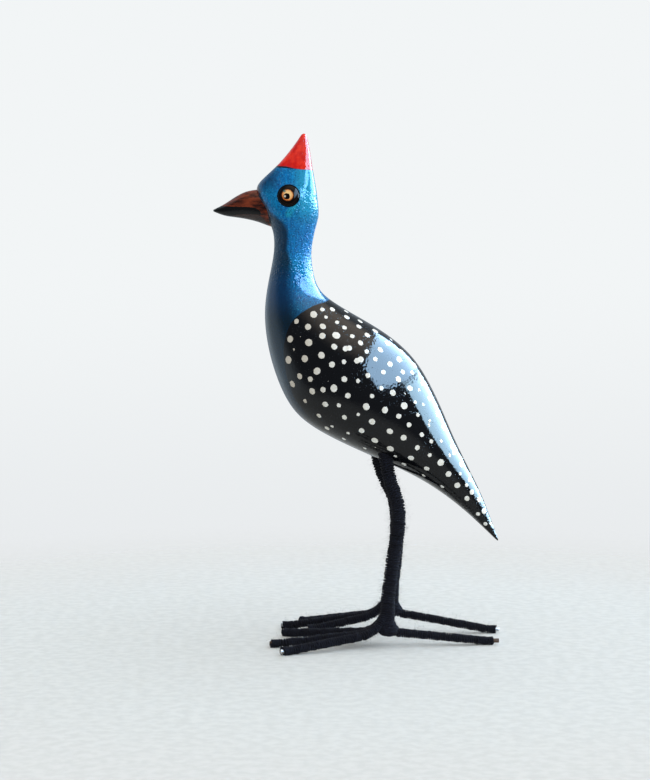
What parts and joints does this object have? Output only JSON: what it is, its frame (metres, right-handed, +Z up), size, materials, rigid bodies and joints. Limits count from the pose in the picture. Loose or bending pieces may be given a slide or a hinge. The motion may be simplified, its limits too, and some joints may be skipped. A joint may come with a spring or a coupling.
{
  "type": "painted wooden guinea fowl figurine",
  "caption": "Carved and painted wooden guinea fowl with a red casque, blue neck and white-dotted black body, standing on legs and toes of wire wound with black yarn.",
  "frame": {"origin": "on the ground under the middle of the bird's bounding box", "axes": "+Z up, the beak points to -X and the tail to +X, the bird's left side faces -Y"},
  "size_m": [0.128, 0.079, 0.2233],
  "materials": {
    "painted_wood": "painted and lacquered, glossy",
    "eye_lacquer": "glossy painted dome",
    "black_yarn": "tightly wound wool yarn, slightly fuzzy",
    "steel_wire": "cut wire, slightly rusty"
  },
  "bodies": {
    "root": {"carved_body": "painted_wood", "left_eye": "eye_lacquer", "right_eye": "eye_lacquer", "left_leg": "black_yarn", "right_leg": "black_yarn", "left_outer_toe_wire": "steel_wire", "left_middle_toe_wire": "steel_wire", "left_inner_toe_wire": "steel_wire", "left_back_toe_wire": "steel_wire", "right_outer_toe_wire": "steel_wire", "right_middle_toe_wire": "steel_wire", "right_inner_toe_wire": "steel_wire", "right_back_toe_wire": "steel_wire"}
  },
  "joints": []
}
